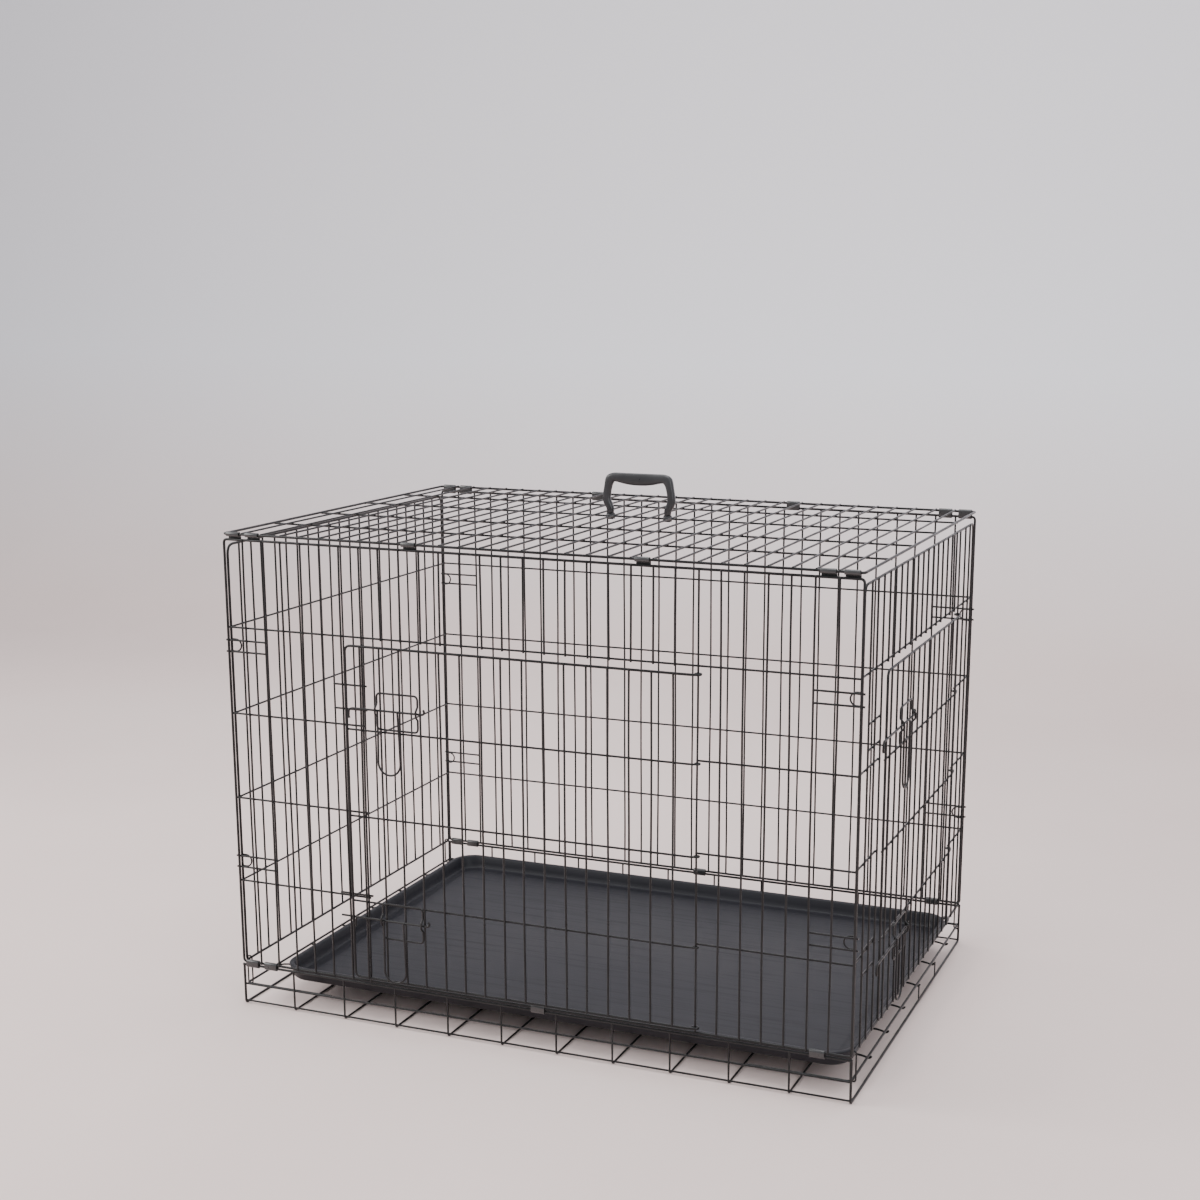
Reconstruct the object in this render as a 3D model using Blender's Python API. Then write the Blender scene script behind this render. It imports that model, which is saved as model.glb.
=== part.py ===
"""Folding wire dog crate with a front door, an end door, a lift-up lid and a slide-out tray.

The crate stands on its base. +X runs along the front, +Y goes from the front to the back, +Z is up.
Sizes are in metres. Every piece hangs from one empty, which centres the crate on the origin.
"""

import math

import bmesh
import bpy
from mathutils import Matrix, Vector
from mathutils.geometry import delaunay_2d_cdt

# Driving dimensions
LENGTH = 1.070  # outer length of the front, the back and the base
WIDTH = 0.750  # from the front wall's outer face to the back wall's
WALL_BOTTOM = 0.076  # height of the walls' bottom wires, which they fold on
WALL_TOP = 0.798  # height of the front and back walls' top wires
END_TOP = 0.788  # height of the end walls' top wires
LID_HEIGHT = 0.807
COLUMNS = 30  # upright wire gaps along the front
END_COLUMNS = 21  # upright wire gaps along an end
ROWS = 5  # level wire gaps up a wall
FINE = 0.003  # thin wire
STOUT = 0.004  # frame wire

# Base and tray
POST_GAPS = 11
RAIL_HEIGHT = 0.0705
SUPPORT_HEIGHT = 0.035
SUPPORT_WIRES = 6
TRAY_BOTTOM = 0.037
TRAY_TOP = 0.0625
TRAY_LEFT = -0.486
TRAY_RIGHT = 0.522
TRAY_HALF_WIDTH = 0.340
TRAY_WALL = 0.0025

# Walls and how the pieces stand off them
HALF_LENGTH = LENGTH / 2
SIDE_PLANE = WIDTH / 2 - FINE / 2  # middle of the front and back walls
END_PLANE = HALF_LENGTH - FINE  # middle of the end walls
END_HALF_WIDTH = 0.3685
DOOR_STANDOFF = 0.006
GUIDE_STANDOFF = 0.0094
ROD_STANDOFF = 0.0115
PULL_STANDOFF = 0.0154
BULGE_STANDOFF = 0.0157

# Doors, as wall column numbers
FRONT_LATCH_COLUMN = 7
FRONT_HINGE_COLUMN = 23
END_LATCH_COLUMN = 3
END_HINGE_COLUMN = 18
DOOR_BOTTOM = 0.084
DOOR_TOP = 0.641
DOOR_ROW_DROP = 0.005  # a door's level wires lie this far below the wall's, to clear them as it opens
FRONT_DOOR_OVERLAP = 0.027  # how far the front door reaches past its doorway
END_DOOR_SETBACK = 0.016  # how far the end door stops short of its doorway

# Latches
LATCH_HEIGHTS = {"lower": 0.190, "upper": 0.541}
CATCH_OFFSETS = (-0.0055, 0.034)
CATCH_REACH = 0.006
CATCH_LENGTH = 0.060
FRONT_GUIDE_START = 0.030
END_GUIDE_START = 0.090
GUIDE_LENGTH = 0.073
GUIDE_RISE = 0.028
GUIDE_DROP = 0.031
ROD_RADIUS = 0.002
THIN_RADIUS = 0.0015
PULL_WIDTH = 0.036
PULL_LENGTH = 0.104

# Corner hooks and the catch wires beside them
HOOK_HEIGHTS = {"lower": 0.2535, "upper": 0.6225}
HOOK_PLANE = 0.3655
HOOK_REACH = 0.017
HOOK_HALF_HEIGHT = 0.010
HOOK_RADIUS = 0.00125
HOOK_CATCH_GAP = 0.0095

# Clips and hinge links
CLIP_LENGTH = 0.024
CLIP_WALL = 0.0012
CLIP_CLEARANCE = 0.0029
BASE_CLIP_CELLS = (0, 1, 15, 28)
LID_CLIP_CELLS = (0, 1, 9, 20, 28, 29)
LINK_PLANE = 0.3585
LINK_RADIUS = 0.0043

# Carrying handle
HANDLE_ROW = 3
HANDLE_CENTRE = 0.0093  # to the right of the crate's middle
HANDLE_FOOT_OFFSET = 0.053
HANDLE_TOP = 0.076
HANDLE_DEPTH = 0.014
FOOT_WIDTH = 0.012

# Tray stop
STOP_NEAR = 0.045
STOP_FAR = 0.165
STOP_DROP = 0.027
STOP_STANDOFF = 0.0042

# The hardware stands proud at the front and at the right end, so the empty shifts the crate to centre its box
PROUD = BULGE_STANDOFF + THIN_RADIUS
CLIP_PROUD = CLIP_CLEARANCE + CLIP_WALL
SHIFT_X = (HALF_LENGTH - (END_PLANE + PROUD)) / 2
SHIFT_Y = (PROUD - CLIP_PROUD) / 2

LEVEL = (Vector((1, 0, 0)), Vector((0, 1, 0)))
SIDE_WALL = (Vector((1, 0, 0)), Vector((0, 0, 1)))
END_WALL = (Vector((0, 1, 0)), Vector((0, 0, 1)))


def clear_scene():
    for thing in list(bpy.data.objects):
        bpy.data.objects.remove(thing)


def material(name, colour, roughness, metallic):
    made = bpy.data.materials.new(name)
    made.use_nodes = True
    shader = made.node_tree.nodes["Principled BSDF"]
    shader.inputs["Base Color"].default_value = (*colour, 1)
    shader.inputs["Roughness"].default_value = roughness
    shader.inputs["Metallic"].default_value = metallic
    return made


def make_materials():
    return {
        "wire": material("black_coated_wire", (0.018, 0.018, 0.020), 0.38, 0.25),
        "clip": material("dark_steel_clip", (0.030, 0.030, 0.032), 0.32, 0.60),
        "tray": material("black_tray_plastic", (0.030, 0.031, 0.036), 0.46, 0.0),
        "grip": material("charcoal_grip_plastic", (0.045, 0.046, 0.048), 0.50, 0.0),
    }


def add(name, data, origin, crate, finish):
    """Links an object whose data is measured from origin, under the crate's empty."""
    piece = bpy.data.objects.new(name, data)
    bpy.context.scene.collection.objects.link(piece)
    piece.parent = crate
    piece.location = origin
    data.materials.append(finish)
    return piece


# Flat shapes


def joined_outlines(bars):
    """Outlines of overlapping rectangles (low u, high u, low v, high v): outer edges and holes."""
    us = sorted({round(bar[n], 7) for bar in bars for n in (0, 1)})
    vs = sorted({round(bar[n], 7) for bar in bars for n in (2, 3)})
    filled = set()
    for u0, u1, v0, v1 in bars:
        for i in range(us.index(round(u0, 7)), us.index(round(u1, 7))):
            for j in range(vs.index(round(v0, 7)), vs.index(round(v1, 7))):
                filled.add((i, j))
    step = {}
    for i, j in filled:
        if (i, j - 1) not in filled:
            step[i, j] = (i + 1, j)
        if (i + 1, j) not in filled:
            step[i + 1, j] = (i + 1, j + 1)
        if (i, j + 1) not in filled:
            step[i + 1, j + 1] = (i, j + 1)
        if (i - 1, j) not in filled:
            step[i, j + 1] = (i, j)
    loops = []
    while step:
        first, here = step.popitem()
        loop = [first]
        while here != first:
            loop.append(here)
            here = step.pop(here)
        loops.append(without_straight_points(loop))
    return [[(us[i], vs[j]) for i, j in loop] for loop in loops]


def without_straight_points(loop):
    kept = []
    for n, (i, j) in enumerate(loop):
        before = loop[n - 1]
        after = loop[(n + 1) % len(loop)]
        turns = (i - before[0]) * (after[1] - j) != (j - before[1]) * (after[0] - i)
        if turns:
            kept.append((i, j))
    return kept


def inside(point, loops):
    """Whether a point lies inside the outer loop and outside the holes."""
    x, y = point
    odd = False
    for loop in loops:
        for n, (x1, y1) in enumerate(loop):
            x0, y0 = loop[n - 1]
            if (y0 > y) != (y1 > y) and x < x0 + (y - y0) * (x1 - x0) / (y1 - y0):
                odd = not odd
    return odd


def prism_mesh(name, loops, low, high, axes):
    """A closed slab with this outline and these holes, from low to high along u x v."""
    points = [Vector(point) for loop in loops for point in loop]
    edges = []
    start = 0
    for loop in loops:
        count = len(loop)
        edges += [(start + n, start + (n + 1) % count) for n in range(count)]
        start += count
    flat, _, faces, origins, _, _ = delaunay_2d_cdt(points, edges, [], 1, 1e-7, True)
    place = {old: new for new, olds in enumerate(origins) for old in olds}
    u_axis, v_axis = axes
    w_axis = u_axis.cross(v_axis)
    made = bmesh.new()
    layers = [
        [made.verts.new(u_axis * p.x + v_axis * p.y + w_axis * depth) for p in flat]
        for depth in (low, high)
    ]
    for face in faces:
        centre = sum((flat[n] for n in face), Vector((0, 0))) / len(face)
        if inside(centre, loops):
            made.faces.new([layers[1][n] for n in face])
            made.faces.new([layers[0][n] for n in reversed(face)])
    for a, b in edges:
        a, b = place[a], place[b]
        made.faces.new([layers[0][a], layers[0][b], layers[1][b], layers[1][a]])
    bmesh.ops.recalc_face_normals(made, faces=made.faces)
    mesh = bpy.data.meshes.new(name)
    made.to_mesh(mesh)
    made.free()
    return mesh


def shifted(bars, u, v):
    return [(a - u, b - u, c - v, d - v) for a, b, c, d in bars]


def lattice(name, bars, axes, origin, crate, finish):
    """A flat wire panel in the plane through origin; the bars are in crate coordinates."""
    u, v = origin.dot(axes[0]), origin.dot(axes[1])
    loops = joined_outlines(shifted(bars, u, v))
    mesh = prism_mesh(name, loops, -FINE / 2, FINE / 2, axes)
    return add(name, mesh, origin, crate, finish)


def upright(u, low, high, width=FINE):
    return (u - width / 2, u + width / 2, low, high)


def level(v, low, high, width=FINE):
    return (low, high, v - width / 2, v + width / 2)


def ring_points(u, v, radius, start, stop, count):
    """Points on an arc, with the angles in degrees."""
    turns = [math.radians(start + (stop - start) * n / (count - 1)) for n in range(count)]
    return [(u + radius * math.cos(turn), v + radius * math.sin(turn)) for turn in turns]


def stadium(u, low, high, radius, count=4):
    """A closed outline with round ends about (u, low) and (u, high)."""
    top = ring_points(u, high, radius, 0, 180, count)
    return top + ring_points(u, low, radius, 180, 360, count)


# Bent wire


def bent_wire(name, points, radius, origin, crate, finish, closed=False, resolution=1):
    """A round wire through points given in crate coordinates."""
    curve = bpy.data.curves.new(name, "CURVE")
    curve.dimensions = "3D"
    curve.bevel_depth = radius
    curve.bevel_resolution = resolution
    curve.use_fill_caps = True
    spline = curve.splines.new("POLY")
    spline.points.add(len(points) - 1)
    for slot, point in zip(spline.points, points):
        slot.co = (*(Vector(point) - origin), 1)
    spline.use_cyclic_u = closed
    spline.use_smooth = True
    return add(name, curve, origin, crate, finish)


# Wire positions


def column(n):
    span = LENGTH - STOUT
    return -span / 2 + span * n / COLUMNS


def end_column(n):
    span = 2 * END_HALF_WIDTH - STOUT
    return -span / 2 + span * n / END_COLUMNS


def row(n):
    return WALL_BOTTOM + (WALL_TOP - WALL_BOTTOM) * n / ROWS


def lid_row(n):
    return -SIDE_PLANE + 2 * SIDE_PLANE * n / ROWS


def post(n):
    span = LENGTH - STOUT
    return -span / 2 + span * n / POST_GAPS


# Walls


def wall_bars(position, count, half_length, top, doorway=None):
    """A wall's wires. doorway is the pair of column numbers that its uprights stop between."""
    bars = []
    for n in range(count + 1):
        width = STOUT if n in (0, count) else FINE
        cut = doorway is not None and doorway[0] < n < doorway[1]
        low = row(ROWS - 1) if cut else WALL_BOTTOM - STOUT / 2
        bars.append(upright(position(n), low, top + STOUT / 2, width))
    for n in (0, ROWS):
        height = WALL_BOTTOM if n == 0 else top
        bars.append(level(height, -half_length, half_length, STOUT))
    for n in range(1, ROWS):
        if doorway is None or n == ROWS - 1:
            bars.append(level(row(n), -half_length, half_length))
        else:
            bars.append(level(row(n), -half_length, position(doorway[0])))
            bars.append(level(row(n), position(doorway[1]), half_length))
    return bars


def corner_catch_bars():
    """Pairs of short wires at each corner of a side wall, which the ends' hooks sit between."""
    bars = []
    for height in HOOK_HEIGHTS.values():
        for offset in (-HOOK_CATCH_GAP, HOOK_CATCH_GAP):
            bars.append(level(height + offset, -HALF_LENGTH, column(2)))
            bars.append(level(height + offset, column(COLUMNS - 2), HALF_LENGTH))
    return bars


def latch_catch_bars(edge):
    """The two short wires beside a doorway that each latch's bolt reaches over."""
    reach = (edge + CATCH_REACH - CATCH_LENGTH, edge + CATCH_REACH)
    return [
        level(height + offset, *reach)
        for height in LATCH_HEIGHTS.values()
        for offset in CATCH_OFFSETS
    ]


def make_front_panel(crate, finish):
    bars = wall_bars(
        column, COLUMNS, HALF_LENGTH, WALL_TOP, (FRONT_LATCH_COLUMN, FRONT_HINGE_COLUMN)
    )
    bars += corner_catch_bars() + latch_catch_bars(column(FRONT_LATCH_COLUMN))
    origin = Vector((0, -SIDE_PLANE, WALL_BOTTOM))
    lattice("front_panel", bars, SIDE_WALL, origin, crate, finish)


def make_back_panel(crate, finish):
    bars = wall_bars(column, COLUMNS, HALF_LENGTH, WALL_TOP) + corner_catch_bars()
    origin = Vector((0, SIDE_PLANE, WALL_BOTTOM))
    lattice("back_panel", bars, SIDE_WALL, origin, crate, finish)


def make_left_end(crate, finish):
    bars = wall_bars(end_column, END_COLUMNS, END_HALF_WIDTH, END_TOP)
    origin = Vector((-END_PLANE, 0, WALL_BOTTOM))
    lattice("left_end_panel", bars, END_WALL, origin, crate, finish)


def make_right_end(crate, finish):
    doorway = (END_LATCH_COLUMN, END_HINGE_COLUMN)
    bars = wall_bars(end_column, END_COLUMNS, END_HALF_WIDTH, END_TOP, doorway)
    bars += latch_catch_bars(end_column(END_LATCH_COLUMN))
    origin = Vector((END_PLANE, 0, WALL_BOTTOM))
    lattice("right_end_panel", bars, END_WALL, origin, crate, finish)


def make_lid(crate, finish):
    outer = SIDE_PLANE + STOUT / 2
    bars = [
        upright(column(n), -outer, outer, STOUT if n in (0, COLUMNS) else FINE)
        for n in range(COLUMNS + 1)
    ]
    bars += [
        level(lid_row(n), -HALF_LENGTH, HALF_LENGTH, STOUT if n in (0, ROWS) else FINE)
        for n in range(ROWS + 1)
    ]
    lattice("lid_panel", bars, LEVEL, Vector((0, SIDE_PLANE, LID_HEIGHT)), crate, finish)


# Doors


def door_bars(left, hinge, columns):
    """A door leaf's wires, from its left frame wire to just past the hinge wire."""
    past = hinge + STOUT
    bars = [upright(left, DOOR_BOTTOM - STOUT / 2, DOOR_TOP + STOUT / 2, STOUT)]
    bars += [upright(u, DOOR_BOTTOM, DOOR_TOP) for u in columns]
    for height in (DOOR_BOTTOM, DOOR_TOP):
        bars.append(level(height, left - STOUT / 2, past, STOUT))
    bars += [level(row(n) - DOOR_ROW_DROP, left, past) for n in range(1, ROWS - 1)]
    return bars


def make_front_door(crate, finish):
    hinge = column(FRONT_HINGE_COLUMN)
    left = column(FRONT_LATCH_COLUMN) - FRONT_DOOR_OVERLAP
    columns = [column(n) for n in range(FRONT_LATCH_COLUMN, FRONT_HINGE_COLUMN)]
    origin = Vector((hinge, -SIDE_PLANE, WALL_BOTTOM))
    bars = shifted(door_bars(left, hinge, columns), hinge, WALL_BOTTOM)
    low = DOOR_STANDOFF - FINE / 2
    mesh = prism_mesh("front_door", joined_outlines(bars), low, low + FINE, SIDE_WALL)
    add("front_door", mesh, origin, crate, finish)


def make_end_door(crate, finish):
    hinge = end_column(END_HINGE_COLUMN)
    left = end_column(END_LATCH_COLUMN) + END_DOOR_SETBACK
    columns = [end_column(n) for n in range(END_LATCH_COLUMN + 1, END_HINGE_COLUMN)]
    origin = Vector((END_PLANE, hinge, WALL_BOTTOM))
    bars = shifted(door_bars(left, hinge, columns), hinge, WALL_BOTTOM)
    low = DOOR_STANDOFF - FINE / 2
    mesh = prism_mesh("end_door", joined_outlines(bars), low, low + FINE, END_WALL)
    add("end_door", mesh, origin, crate, finish)


# Latches


def front_point(u, out, z):
    return Vector((u, -SIDE_PLANE - out, z))


def end_point(u, out, z):
    return Vector((END_PLANE + out, u, z))


def guide_path(place, start, height):
    """A rounded wire frame whose two sides bulge out over the bolt's rod."""
    stop = start + GUIDE_LENGTH
    low, high = height - GUIDE_DROP, height + GUIDE_RISE
    turn = 0.006
    kink = [(GUIDE_STANDOFF, 0.010), (BULGE_STANDOFF, 0.004)]
    rising = [(out, height - rise) for out, rise in kink]
    rising += [(out, height + rise) for out, rise in reversed(kink)]
    path = [(start + turn, GUIDE_STANDOFF, low), (stop - turn, GUIDE_STANDOFF, low)]
    path.append((stop, GUIDE_STANDOFF, low + turn))
    path += [(stop, out, z) for out, z in rising]
    path += [(stop, GUIDE_STANDOFF, high - turn), (stop - turn, GUIDE_STANDOFF, high)]
    path += [(start + turn, GUIDE_STANDOFF, high), (start, GUIDE_STANDOFF, high - turn)]
    path += [(start, out, z) for out, z in reversed(rising)]
    path.append((start, GUIDE_STANDOFF, low + turn))
    return [place(*point) for point in path]


def bolt_path(place, edge, stop, height):
    """A straight rod whose tip bends down past the doorway's edge wire."""
    tip = ring_points(edge - 0.013, height - 0.007, 0.007, 90, 180, 4)
    path = [(stop, height)] + tip + [(edge - 0.020, height - 0.016)]
    return [place(u, ROD_STANDOFF, z) for u, z in path]


def pull_path(place, start, height):
    """A narrow U that hangs from the rod."""
    half = PULL_WIDTH / 2
    bend = ring_points(start + half, height - PULL_LENGTH + half, half, 180, 360, 7)
    path = [(start, height + 0.002)] + bend + [(start + PULL_WIDTH, height + 0.002)]
    return [place(u, PULL_STANDOFF, z) for u, z in path]


def make_latches(prefix, place, edge, guide_offset, crate, finish):
    for level_name, height in LATCH_HEIGHTS.items():
        start = edge + guide_offset
        stop = start + GUIDE_LENGTH
        name = f"{prefix}_{level_name}_latch"
        middle = place(start + GUIDE_LENGTH / 2, GUIDE_STANDOFF, height)
        guide = guide_path(place, start, height)
        bent_wire(name + "_guide", guide, THIN_RADIUS, middle, crate, finish, closed=True)
        axle = place(start + GUIDE_LENGTH / 2, ROD_STANDOFF, height)
        rod = bolt_path(place, edge, stop + 0.010, height)
        bent_wire(name + "_bolt", rod, ROD_RADIUS, axle, crate, finish)
        pull = pull_path(place, start + 0.004, height)
        bent_wire(name + "_pull", pull, THIN_RADIUS, axle, crate, finish)


# Corner hooks and hinge links


def make_corner_hooks(crate, finish):
    """D-shaped wires on the end walls' edges, just inside the side walls' catch wires."""
    for end_name, end_sign in (("left", -1), ("right", 1)):
        root = END_PLANE - FINE / 2 - HOOK_RADIUS - 0.0004
        for side_name, side_sign in (("front", -1), ("back", 1)):
            for level_name, height in HOOK_HEIGHTS.items():
                half = HOOK_HALF_HEIGHT
                bend = ring_points(root - HOOK_REACH + half, height, half, 270, 90, 5)
                path = [(root, height - half)] + bend + [(root, height + half)]
                points = [(end_sign * x, side_sign * HOOK_PLANE, z) for x, z in path]
                name = f"{end_name}_{side_name}_{level_name}_hook"
                origin = Vector((end_sign * END_PLANE, side_sign * HOOK_PLANE, height))
                bent_wire(name, points, HOOK_RADIUS, origin, crate, finish, resolution=0)


def make_hinge_links(crate, finish):
    """Long wire rings that hold each end wall's bottom wire to the base."""
    for end_name, end_sign in (("left", -1), ("right", 1)):
        for side_name, side_sign in (("front", -1), ("back", 1)):
            ring = stadium(END_PLANE, SUPPORT_HEIGHT, WALL_BOTTOM, LINK_RADIUS)
            points = [(end_sign * x, side_sign * LINK_PLANE, z) for x, z in ring]
            origin = Vector((end_sign * END_PLANE, side_sign * LINK_PLANE, WALL_BOTTOM))
            name = f"{end_name}_{side_name}_hinge_link"
            bent_wire(name, points, HOOK_RADIUS, origin, crate, finish, True, 0)


# Clips, whose outlines are in the plane of Y and Z and are run along X


def clip_mesh(name, loops):
    half = CLIP_LENGTH / 2
    return prism_mesh(name, loops, -half, half, END_WALL)


def sleeve_loops(low, high):
    """A closed sleeve's outline about two wires, one at each height."""
    outer = stadium(0, low, high, CLIP_CLEARANCE + CLIP_WALL)
    inner = stadium(0, low, high, CLIP_CLEARANCE)
    return [outer, inner]


def hook_clip_loops():
    """A ring about the lid's front wire, with a leg that drops inside the front wall's top wire."""
    radius = CLIP_CLEARANCE + CLIP_WALL
    foot = WALL_TOP - 0.002 - LID_HEIGHT
    outer = ring_points(0, 0, radius, 60, 290, 7)
    outer += [(0.0043, -0.0045), (0.0043, foot), (0.0060, foot), (0.0060, -0.0010)]
    inner = ring_points(0, 0, CLIP_CLEARANCE, 0, 315, 8)
    return [outer, inner]


def cell_middle(n):
    return (column(n) + column(n + 1)) / 2


def make_base_clips(crate, finish):
    mesh = clip_mesh("base_clip", sleeve_loops(RAIL_HEIGHT - WALL_BOTTOM, 0))
    mesh.materials.append(finish)
    for side_name, side_sign in (("front", -1), ("back", 1)):
        for count, cell in enumerate(BASE_CLIP_CELLS, 1):
            name = f"{side_name}_base_clip_{count}"
            origin = Vector((cell_middle(cell), side_sign * SIDE_PLANE, WALL_BOTTOM))
            add_copy(name, mesh, origin, crate)


def make_lid_clips(crate, finish):
    rear = clip_mesh("lid_hinge_clip", sleeve_loops(WALL_TOP - LID_HEIGHT, 0))
    front = clip_mesh("lid_hook_clip", hook_clip_loops())
    rear.materials.append(finish)
    front.materials.append(finish)
    for count, cell in enumerate(LID_CLIP_CELLS, 1):
        back_place = Vector((cell_middle(cell), SIDE_PLANE, LID_HEIGHT))
        front_place = Vector((cell_middle(cell), -SIDE_PLANE, LID_HEIGHT))
        add_copy(f"lid_hinge_clip_{count}", rear, back_place, crate)
        add_copy(f"lid_hook_clip_{count}", front, front_place, crate)


def add_copy(name, mesh, origin, crate):
    piece = bpy.data.objects.new(name, mesh)
    bpy.context.scene.collection.objects.link(piece)
    piece.parent = crate
    piece.location = origin


# Base


def make_base_floor(crate, finish):
    bars = [
        upright(post(n), -SIDE_PLANE - FINE / 2, SIDE_PLANE + FINE / 2)
        for n in range(POST_GAPS + 1)
    ]
    reach = HALF_LENGTH - STOUT / 2 + FINE / 2
    bars += [level(sign * SIDE_PLANE, -reach, reach) for sign in (-1, 1)]
    lattice("base_floor_grid", bars, LEVEL, Vector((0, 0, FINE / 2)), crate, finish)


def make_base_rail(name, sign, crate, finish):
    foot = FINE + 0.0003
    bars = []
    for n in range(POST_GAPS + 1):
        width = STOUT if n in (0, POST_GAPS) else FINE
        bars.append(upright(post(n), foot, RAIL_HEIGHT + STOUT / 2, width))
    bars.append(level(RAIL_HEIGHT, -HALF_LENGTH, HALF_LENGTH, STOUT))
    bars.append(level(SUPPORT_HEIGHT, -HALF_LENGTH, HALF_LENGTH))
    origin = Vector((0, sign * SIDE_PLANE, SUPPORT_HEIGHT))
    lattice(name, bars, SIDE_WALL, origin, crate, finish)


def make_tray_support(crate, finish):
    reach = SIDE_PLANE - FINE / 2 - 0.0005
    bars = [upright(sign * END_PLANE, -reach, reach, STOUT) for sign in (-1, 1)]
    for n in range(1, SUPPORT_WIRES + 1):
        y = -SIDE_PLANE + 2 * SIDE_PLANE * n / (SUPPORT_WIRES + 1)
        bars.append(level(y, -END_PLANE, END_PLANE))
    lattice("tray_support_grid", bars, LEVEL, Vector((0, 0, SUPPORT_HEIGHT)), crate, finish)


# Tray


def rounded_rectangle(inset, corner, height, turn_points=5):
    """One ring of the tray's surface, counter-clockwise from above."""
    left, right = TRAY_LEFT + inset, TRAY_RIGHT - inset
    half = TRAY_HALF_WIDTH - inset
    ring = []
    for u, v, start in (
        (right - corner, half - corner, 0),
        (left + corner, half - corner, 90),
        (left + corner, -half + corner, 180),
        (right - corner, -half + corner, 270),
    ):
        ring += ring_points(u, v, corner, start, start + 90, turn_points)
    return [Vector((x, y, height)) for x, y in ring]


def make_tray(crate, finish):
    """A shallow pan with a rolled rim: rings from the underside's middle out, over the rim and in."""
    lip = 0.0055
    rings = [
        rounded_rectangle(0.014, 0.030, TRAY_BOTTOM),
        rounded_rectangle(0.006, 0.038, TRAY_BOTTOM + 0.004),
        rounded_rectangle(0.003, 0.041, TRAY_TOP - lip),
        rounded_rectangle(0.000, 0.044, TRAY_TOP - lip),
        rounded_rectangle(0.000, 0.044, TRAY_TOP - 0.001),
        rounded_rectangle(0.001, 0.043, TRAY_TOP),
        rounded_rectangle(0.009, 0.035, TRAY_TOP),
        rounded_rectangle(0.017, 0.027, TRAY_BOTTOM + TRAY_WALL),
    ]
    made = bmesh.new()
    layers = [[made.verts.new(point) for point in ring] for ring in rings]
    for low, high in zip(layers, layers[1:]):
        for n in range(len(low)):
            m = (n + 1) % len(low)
            made.faces.new([low[n], low[m], high[m], high[n]])
    made.faces.new(list(reversed(layers[0])))
    made.faces.new(layers[-1])
    mesh = bpy.data.meshes.new("tray")
    made.to_mesh(mesh)
    made.free()
    mesh.shade_smooth()
    mesh.set_sharp_from_angle(angle=math.radians(35))
    add("tray", mesh, Vector((0, 0, 0)), crate, finish)


def make_tray_stop(crate, finish):
    """A wire bail that hangs on the right end's wire and turns up behind the tray."""
    x = END_PLANE + STOP_STANDOFF
    low = SUPPORT_HEIGHT - STOP_DROP
    turn = 0.006
    points = [
        (x, STOP_NEAR, SUPPORT_HEIGHT),
        (x, STOP_NEAR, low + turn),
        (x, STOP_NEAR + turn, low),
        (x, STOP_FAR - turn, low),
        (x, STOP_FAR, low + turn),
        (x, STOP_FAR, SUPPORT_HEIGHT),
    ]
    origin = Vector((END_PLANE, (STOP_NEAR + STOP_FAR) / 2, SUPPORT_HEIGHT))
    bent_wire("tray_stop", points, HOOK_RADIUS, origin, crate, finish)


# Carrying handle


def handle_arch_loop():
    """The handle seen from the front: flared legs, and a grip that is thickest midway along it."""
    outer_right = [(0.0590, 0.006), (0.0600, 0.0155), (0.0680, 0.024), (0.0672, 0.034)]
    outer_right += [(0.0625, HANDLE_TOP - 0.014)]
    outer_right += ring_points(0.0540, HANDLE_TOP - 0.008, 0.008, 0, 90, 4)
    inner_right = [(0.0470, 0.006), (0.0475, 0.018), (0.0535, 0.030)]
    inner_right += [(0.0475, HANDLE_TOP - 0.0160)]
    grip = [(0.030, HANDLE_TOP - 0.0190), (0.012, HANDLE_TOP - 0.0212)]
    right = outer_right
    left = [(-x, z) for x, z in reversed(outer_right)]
    under_left = [(-x, z) for x, z in inner_right + grip]
    under_right = list(reversed(inner_right + grip))
    return right + left + under_left + under_right


def foot_loops():
    """A foot seen from the end: a rounded block with a hole for the hinge wire."""
    outer = ring_points(0, 0, 0.0065, 180, 360, 6) + [(0.0065, 0.014), (-0.0065, 0.014)]
    return [outer, ring_points(0, 0, 0.0028, 0, 315, 8)]


def make_carry_handle(crate, finish):
    origin = Vector((HANDLE_CENTRE, lid_row(HANDLE_ROW), LID_HEIGHT))
    half = HANDLE_DEPTH / 2
    arch = prism_mesh("carry_handle", [handle_arch_loop()], -half, half, SIDE_WALL)
    handle = add("carry_handle", arch, origin, crate, finish)
    for sign in (-1, 1):
        middle = sign * HANDLE_FOOT_OFFSET
        low, high = middle - FOOT_WIDTH / 2, middle + FOOT_WIDTH / 2
        foot_mesh = prism_mesh("handle_foot", foot_loops(), low, high, END_WALL)
        foot = bpy.data.objects.new(f"handle_foot_{sign + 2}", foot_mesh)
        bpy.context.scene.collection.objects.link(foot)
        foot.parent = crate
        foot.location = origin
        foot.hide_render = True
        foot.display_type = "WIRE"
        union = handle.modifiers.new("foot", "BOOLEAN")
        union.operation = "UNION"
        union.solver = "EXACT"
        union.object = foot


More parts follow.
